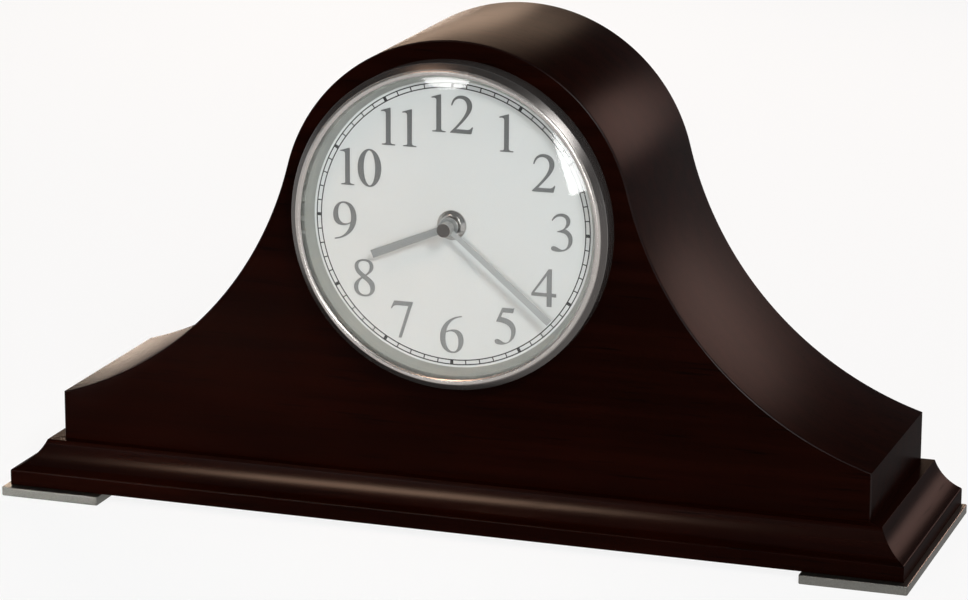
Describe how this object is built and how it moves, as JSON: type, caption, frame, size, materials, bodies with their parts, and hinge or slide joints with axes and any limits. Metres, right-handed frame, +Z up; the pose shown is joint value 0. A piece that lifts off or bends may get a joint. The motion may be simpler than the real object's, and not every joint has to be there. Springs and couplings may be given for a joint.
{
  "type": "tambour mantel clock",
  "caption": "Dark wooden mantel clock with a round crown and sweeping shoulders, a domed glass in a metal bezel, metal foot plates, and a battery movement behind a rear door.",
  "frame": {"origin": "floor level, in the middle of the footprint", "axes": "+X to the right as seen from the front, +Y from the dial to the rear door, +Z up"},
  "size_m": [0.432, 0.1254, 0.2263],
  "materials": {
    "espresso_wood": "dark espresso stain under satin lacquer",
    "back_board": "dark stained board, matt lacquer",
    "plain_wood": "planed softwood and hardboard, unfinished",
    "satin_nickel": "satin nickel plate, brushed along the foot",
    "bezel_metal": "turned and satin brushed, bright bead",
    "ring_silver": "pale satin silver",
    "clear_glass": "clear domed mineral glass",
    "dial_white": "pale cool white enamel, matt",
    "silver_metal": "satin silver with polished edges",
    "polished_nickel": "polished nickel plate",
    "brass": "turned and stamped brass",
    "steel": "zinc plated",
    "black_plastic": "moulded, fine spark texture",
    "white_plastic": "moulded acetal, satin",
    "ferrite": "sintered, ground faces",
    "copper_wire": "fine enamelled copper wire",
    "black_rubber": "moulded, matt",
    "green_board": "glass-fibre board with green solder mask",
    "cone_paper": "pressed black paper",
    "cell_jacket": "plain printed steel jacket, bare ends"
  },
  "bodies": {
    "case": {"front_panel": "espresso_wood", "top_skin": "espresso_wood", "end_panel_left": "espresso_wood", "end_panel_right": "espresso_wood", "base_moulding_front": "espresso_wood", "base_moulding_left": "espresso_wood", "base_moulding_right": "espresso_wood", "back_panel": "back_board", "glue_blocks": "plain_wood", "base_board": "plain_wood", "dial_backing": "plain_wood", "foot_plate_left": "satin_nickel", "foot_plate_right": "satin_nickel", "bezel_ring": "bezel_metal", "inner_ring": "ring_silver", "lens": "clear_glass", "dial_plate": "dial_white", "numerals": "silver_metal", "dial_nut": "polished_nickel", "movement_bush": "polished_nickel", "hinge_case_leaves": "brass", "hinge_pins": "brass", "hinge_case_screws": "brass", "foot_screws": "steel", "case_screws": "steel", "back_screws": "steel", "bezel_screws": "steel", "movement_screws": "steel", "stator": "steel", "battery_contacts": "steel", "quartz_crystal": "steel", "movement_front_case": "black_plastic", "movement_rear_case": "black_plastic", "speaker_frame": "black_plastic", "train_plate": "white_plastic", "speaker_magnet": "ferrite", "catch_magnet": "ferrite", "coil": "copper_wire", "rubber_washer": "black_rubber", "circuit_board": "green_board", "speaker_cone": "cone_paper", "battery_cell": "cell_jacket"},
    "minute_hand_shaft": {"minute_arbor": "brass", "centre_wheel": "white_plastic", "minute_hand": "silver_metal", "hand_nut": "polished_nickel"},
    "hour_hand_tube": {"hour_wheel": "white_plastic", "hour_hand": "silver_metal"},
    "minute_wheel": {"minute_wheel": "white_plastic"},
    "third_wheel": {"third_wheel": "white_plastic"},
    "rotor": {"rotor": "ferrite"},
    "set_knob": {"set_knob": "black_plastic"},
    "volume_knob": {"volume_knob": "black_plastic"},
    "chime_switch": {"chime_switch": "black_plastic"},
    "night_switch": {"night_switch": "black_plastic"},
    "rear_door": {"rear_door": "back_board", "door_knob": "brass", "hinge_door_leaves": "brass", "hinge_door_screws": "brass", "catch_plate": "steel"}
  },
  "joints": [
    {"name": "minute_turn", "type": "hinge", "parent": "case", "child": "minute_hand_shaft", "pos_m": [0, -0.02, 0.1434], "axis": [0, 1, 0], "continuous": true},
    {"name": "hour_turn", "type": "hinge", "parent": "case", "child": "hour_hand_tube", "pos_m": [0, -0.02, 0.1434], "axis": [0, 1, 0], "continuous": true},
    {"name": "minute_wheel_turn", "type": "hinge", "parent": "case", "child": "minute_wheel", "pos_m": [-0.0096, -0.02, 0.1434], "axis": [0, 1, 0], "continuous": true},
    {"name": "third_wheel_turn", "type": "hinge", "parent": "case", "child": "third_wheel", "pos_m": [0, -0.02, 0.1599], "axis": [0, 1, 0], "continuous": true},
    {"name": "rotor_turn", "type": "hinge", "parent": "case", "child": "rotor", "pos_m": [0.0126, -0.02, 0.1599], "axis": [0, 1, 0], "continuous": true},
    {"name": "set_knob_turn", "type": "hinge", "parent": "case", "child": "set_knob", "pos_m": [-0.0192, -0.02, 0.1434], "axis": [0, 1, 0], "continuous": true},
    {"name": "volume_turn", "type": "hinge", "parent": "case", "child": "volume_knob", "pos_m": [0.03865, 0.002, 0.1084], "axis": [0, 1, 0], "range_deg": [-140, 140]},
    {"name": "chime_slide", "type": "slide", "parent": "case", "child": "chime_switch", "axis": [1, 0, 0], "range_m": [-0.003, 0.003]},
    {"name": "night_slide", "type": "slide", "parent": "case", "child": "night_switch", "axis": [1, 0, 0], "range_m": [0, 0.005]},
    {"name": "door_swing", "type": "hinge", "parent": "case", "child": "rear_door", "pos_m": [-0.05025, 0.058, 0.1374], "axis": [0, 0, 1], "range_deg": [0, 105]}
  ],
  "couplings": [
    {"joint": "hour_turn", "follows": "minute_turn", "ratio": 0.083333},
    {"joint": "minute_wheel_turn", "follows": "minute_turn", "ratio": -0.33333},
    {"joint": "third_wheel_turn", "follows": "minute_turn", "ratio": -10},
    {"joint": "rotor_turn", "follows": "minute_turn", "ratio": 60},
    {"joint": "set_knob_turn", "follows": "minute_turn", "ratio": 1}
  ]
}
